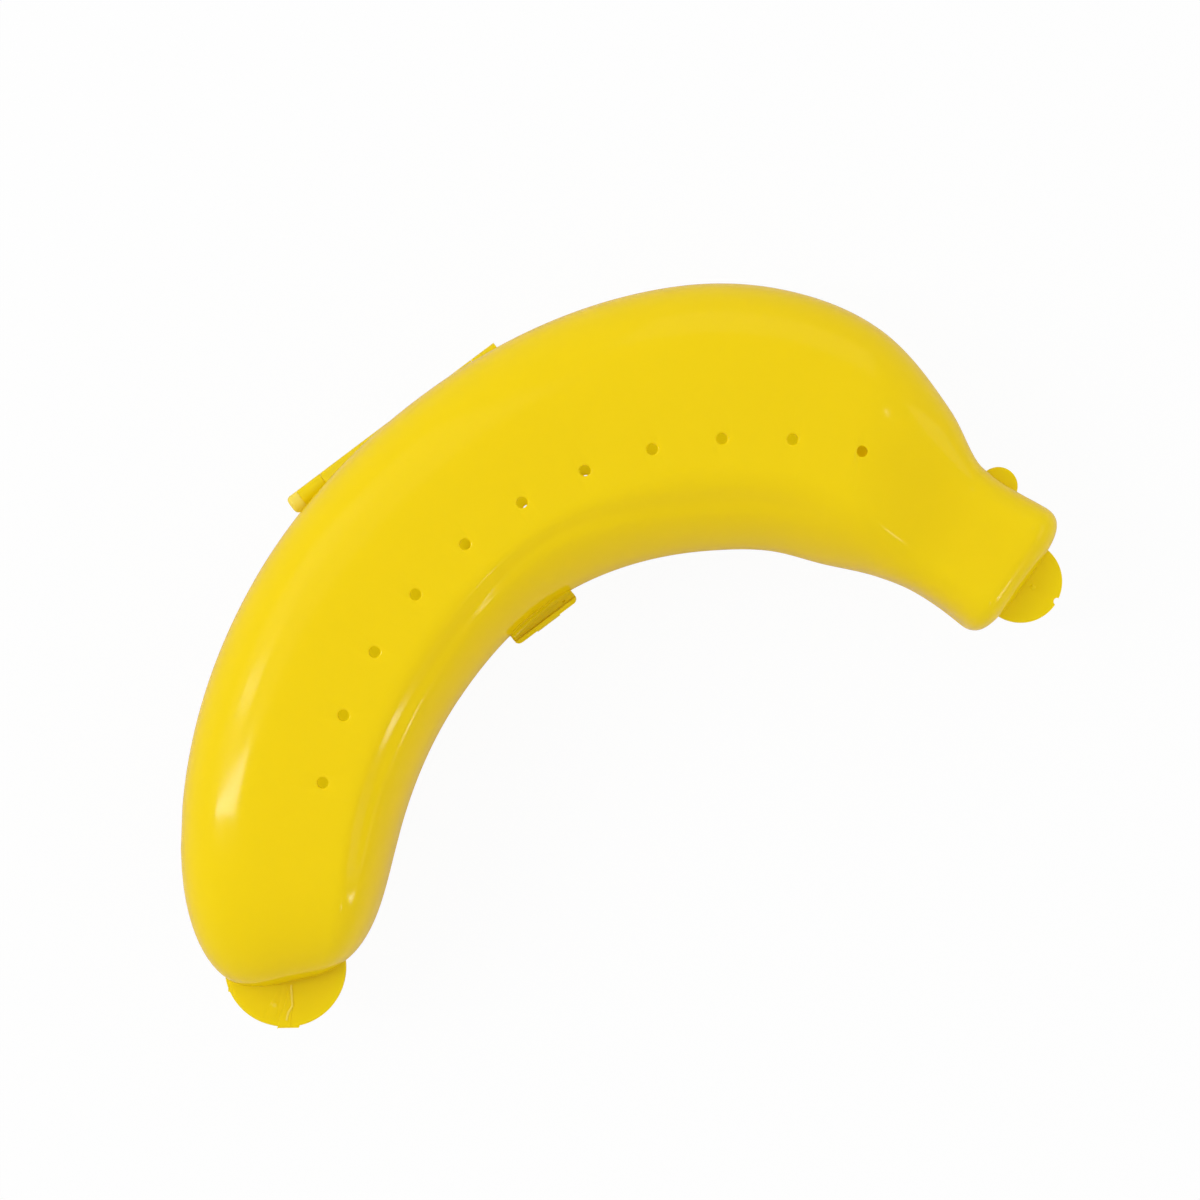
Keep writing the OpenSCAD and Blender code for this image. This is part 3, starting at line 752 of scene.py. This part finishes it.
nub_low, nub_high, nub_edge = lid_rim + 0.2, tab_top - 0.1, 0.1
gate_foot, scar_height, scar_edge, seam_height, seam_edge = tab_top - 0.5, 0.12, 0.06, 0.3, 0.1
nub_plan = on_tab((-1.5, 11.5), (-2.0, 12.9), (-1.5, 12.8), (2.6, 12.75), (3.0, 11.5))
scar_plan = on_tab((0.3, 3.9), (1.2, 3.9), (1.4, 8.1), (1.0, 10.5), (0.9, 12.5), (-1.7, 12.5), (-1.6, 10.5),
                   (-0.6, 8.5), (0.1, 6.0))
seam_plan = on_tab((0.85, 3.6), (1.25, 3.6), (1.5, 8.1), (0.7, 9.5), (0.25, 11.2), (-0.2, 11.1), (0.2, 9.3),
                   (1.05, 8.0))
gate_nub = softened(shelf(nub_plan, nub_low, nub_high), nub_edge)
gate_scar = softened(shelf(scar_plan, gate_foot, tab_top + scar_height), scar_edge)
gate_seam = softened(shelf(seam_plan, gate_foot, tab_top + seam_height), seam_edge)
blister_at = Vector((*on_tab((-2.5, 7.9))[0], tab_top))
blister_profile = [(0, -0.5), (1.0, -0.5), (0.9, 0.0), (0.7, 0.1), (0.35, 0.19), (0, 0.21)]
gate_blister = upright(turned(blister_profile, segments=32), blister_at)

# Catch: a flat step at the rim, as wide as the clip, with a small pit in it.
clip_low, clip_high = (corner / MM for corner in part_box("latch_clip"))
catch_height, catch_corner, corner_inset, catch_edge = 1.5, 0.4, 0.06, 0.1
nose_reach, catch_root = 1.1, 3.0
catch_face, catch_back = clip_low.y + nose_reach, clip_high.y + catch_root
catch_left, catch_right, catch_top = clip_low.x, clip_high.x, lid_rim + catch_height
catch_plan = [(catch_left, catch_back), (catch_left, catch_face + catch_corner),
              (catch_left + corner_inset, catch_face), (catch_right - corner_inset, catch_face),
              (catch_right, catch_face + catch_corner), (catch_right, catch_back)]
pit_at = Vector((catch_right - 2.6, catch_face + 0.75, catch_top))
pit = upright(turned([(0, -0.5), (0.2, -0.45), (0.38, 0.0), (0.5, 0.3), (0, 0.3)], segments=24), pit_at)
catch = carved(softened(shelf(catch_plan, lid_rim + rim_spare, catch_top), catch_edge),
               ("DIFFERENCE", [lid_plug.copy(), pit]))

# Fillet from the catch up to the wall, which sinks a little into both.
fillet_radius, fillet_root, fillet_sink, fillet_end = 1.4, 0.75, 0.4, 0.3
wall_bite, catch_bite = 0.12, 0.02
inner_rim = bend_radius - middle_width / 2
fillet_middle = inner_rim + wall_bite - fillet_radius
fillet_height = catch_top - catch_bite + fillet_radius
fillet_arc = [(fillet_middle + fillet_radius * sin(a), fillet_height - fillet_radius * cos(a))
              for a in np.linspace(0, pi / 2, 13)]
fillet_foot = fillet_arc[0][1] - fillet_sink
fillet_profile = [(inner_rim + fillet_root, fillet_foot), (fillet_arc[0][0], fillet_foot), *fillet_arc,
                  (inner_rim + fillet_root, fillet_arc[-1][1])]
fillet_ends = [np.degrees((centre[0] - x) / inner_rim)
               for x in (catch_left + fillet_end, catch_right - fillet_end)]
fillet = drawn_out([[place(radius, bearing, z) * MM for radius, z in fillet_profile]
                    for bearing in np.linspace(*fillet_ends, 17)])
lid_mesh = carved(
    half_shell(walled_section(lid_edges, rebate + lip_round), lid_rim, 1),
    ("DIFFERENCE", [vents(lid_rim + half_depth, 1), relief(1), pocket(hinge_left, left_knuckle_end),
                    pocket(right_knuckle_start, hinge_right)]),
    ("UNION", [lid_tab, gate_nub, gate_scar, gate_seam, gate_blister, *knuckle(barrel_start, barrel_end, 1),
               catch, fillet]),
    ("DIFFERENCE", [bore(pin_radius + pin_clearance, hinge_left, hinge_right, hinge_y, hinge_z)]))
# Pale colour for the gate's high points: real stress whitening on the seam, and a painted highlight on the
# blister.
gate_white_and_glint, gate_white_and_glint_share, pale_mark_from, pale_mark_over = (0.96, 0.88, 0.2), 0.6, 3.3, 0.13


def gate_whitening_and_painted_glint(start, spot, colour):
    """Whitens what stands highest of the torn gate on the tip tab: the seam, where the plastic was drawn, and
    the blister, where the pale spot is a painted highlight.
    """
    away = start.node("ShaderNodeVectorMath", {0: spot, 1: tab_middle * MM}, operation="SUBTRACT")
    out = start.node("ShaderNodeVectorMath", {0: away, 1: gate_out}, operation="DOT_PRODUCT", out="Value")
    height = start.node("ShaderNodeSeparateXYZ", {"Vector": spot}, out="Z")
    raised = start.node("ShaderNodeMapRange", {"Value": height, "From Min": (tab_top + pale_mark_over) * MM,
                                               "From Max": (tab_top + 2 * pale_mark_over) * MM})
    share = raised * out.math("GREATER_THAN", pale_mark_from * MM) * gate_white_and_glint_share
    return start.node("ShaderNodeMix", {"Factor": share, "A": colour, "B": (*gate_white_and_glint, 1)}, data_type="RGBA")


# The lid's plastic carries the whitened seam and the painted highlight on the gate's blister.
lid_plastic = moulded_plastic("yellow_polypropylene_with_gate_whitening_and_painted_glint", shell_pale, shell_deep, shell_roughness,
                              pale_marks=gate_whitening_and_painted_glint)
lid = dressed(lid_mesh, "lid_shell_moulding", lid_plastic)
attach(lid, "lid")
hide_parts("lid_shell")


# Hinge pin: a rod of the same paler plastic through the knuckles and the barrel. It is pushed in from the
# tip side, and its rounded head stops against the base's knuckle.
head_round, head_edge, head_bevel, head_gap, pin_taper = 1.0, 0.2, 0.15, 0.02, 0.2
head_radius = barrel_radius - trim
head_arc = [(head_radius - head_round + head_round * sin(a), hinge_left + head_round - head_round * cos(a))
            for a in np.linspace(0, pi / 2, 9)]
pin_profile = [
    (0, hinge_left), *head_arc, (head_radius, head_end - head_edge),
    (head_radius - head_bevel, head_end - head_gap), (pin_radius, head_end - head_gap),
    (pin_radius, hinge_right - pin_taper), (pin_radius - pin_taper, hinge_right), (0, hinge_right)]
hinge_rod = lengthwise(turned(pin_profile, segments=64), hinge_y, hinge_z)
hinge_pin = dressed(hinge_rod, "hinge_pin_rod", pin_plastic)
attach(hinge_pin, "base")
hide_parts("hinge_pin")


# Studio: a white table in an even pale room, under soft light from the left and from behind, with a bounce
# from the right and three small lamps that set the glints on the ridge and the stem.
def plain_light(name, spot, target, size, power):
    """A flat lamp that faces its target."""
    lamp = bpy.data.lights.new(name, "AREA")
    lamp.shape, lamp.size, lamp.size_y, lamp.energy = "RECTANGLE", *size, power
    thing = bpy.data.objects.new(name, lamp)
    thing.location = spot
    thing.rotation_euler = (target - spot).to_track_quat("-Z", "Y").to_euler()
    bpy.context.scene.collection.objects.link(thing)


image_right = Vector((0.799, -0.601, 0.0))
image_up = Vector((0.601, 0.799, 0.0))
overhead = Vector((0, 0, 1))
target = Vector((0, 0, 0.02))


def towards(bearing, height):
    """A direction at a bearing from the image's right, anticlockwise, and a height, both in degrees."""
    level = cos(radians(bearing)) * image_right + sin(radians(bearing)) * image_up
    return cos(radians(height)) * level + sin(radians(height)) * overhead


for name, bearing, height, distance, size, power in (
        ("window", 163, 33, 1.5, (1.1, 0.8), 2.2),
        ("left pane", 181, 45, 1.3, (0.07, 0.65), 4.4),
        ("right pane", 166, 40, 1.3, (0.1, 0.35), 1.0),
        ("sky", 150, 46, 1.65, (1.3, 1.3), 4.0),
        ("back light", 75, 30, 1.5, (1.2, 0.8), 2.8),
        ("bounce", 0, 18, 1.5, (1.2, 0.6), 3.2),
        ("tip lamp", 16, 50, 1.4, (0.025, 0.05), 0.28),
        ("stem lamp", -47, 32, 1.4, (0.04, 0.1), 0.5),
        ("end lamp", -30, 10, 1.4, (0.05, 0.25), 1.2)):
    plain_light(name, target + towards(bearing, height) * distance, target, size, power)

# The table stands a tenth of a millimetre above the flat that the case rests on, so that light which
# passes the plastic there meets the table.
table_reach, table_level = 3.0, 0.0001
table_corners = [(x * table_reach, y * table_reach, table_level)
                 for x, y in ((-1, -1), (1, -1), (1, 1), (-1, 1))]
table = shown(new_mesh(table_corners, (), [(0, 1, 2, 3)]), "table")
white = bpy.data.materials.new("white_table")
white.use_nodes = True
start = Wire(white.node_tree)
seen = start.node("ShaderNodeLightPath", out="Is Camera Ray")
mirrored = start.node("ShaderNodeLightPath", out="Is Glossy Ray")
through = start.node("ShaderNodeLightPath", out="Is Transmission Ray")
paper_white, glow_seen, glow_mirrored = 0.65, 0.95, 0.2
paper = start.node("ShaderNodeBsdfDiffuse", {"Color": (paper_white, paper_white, paper_white, 1)})
glow = start.node("ShaderNodeEmission", {"Color": (1, 1, 1, 1), "Strength": 1.0})
share = (seen.math("MAXIMUM", through) * glow_seen).math("MAXIMUM", mirrored * glow_mirrored)
mixed = start.node("ShaderNodeMixShader", {0: share, 1: paper, 2: glow})
start.feed(white.node_tree.nodes["Material Output"].inputs["Surface"], mixed)
table.data.materials.append(white)

room_level, horizon_level = 0.75, 0.15
world = bpy.data.worlds.new("room")
bpy.context.scene.world = world
world.use_nodes = True
room = Wire(world.node_tree)
facing = room.node("ShaderNodeTexCoord", out="Generated")
height = room.node("ShaderNodeSeparateXYZ", {"Vector": facing}, out="Z").math("MAXIMUM", 0)
backdrop = world.node_tree.nodes["Background"]
room.feed(backdrop.inputs["Color"], (1, 1, 1, 1))
room.feed(backdrop.inputs["Strength"], room_level + horizon_level * (1 - height) ** 3)

# Camera: straight above the case, turned so that the tip lies at the lower left. The width of the view is
# that of the picture at the level where the shells part.
camera_height, view_width, view_turn = 0.6, 0.2541, -36.97
camera_x, camera_y, parting_level = 0.01278, 0.0011, (base_rim + parting_gap / 2) * MM
lens = bpy.data.cameras.new("camera")
lens.sensor_width = 36.0
lens.lens = lens.sensor_width * camera_height / view_width
camera = bpy.data.objects.new("camera", lens)
camera.location = (camera_x, camera_y, parting_level + camera_height)
camera.rotation_euler = (0, 0, radians(view_turn))
bpy.context.scene.collection.objects.link(camera)
bpy.context.scene.camera = camera
bpy.context.scene.view_settings.view_transform = "Standard"
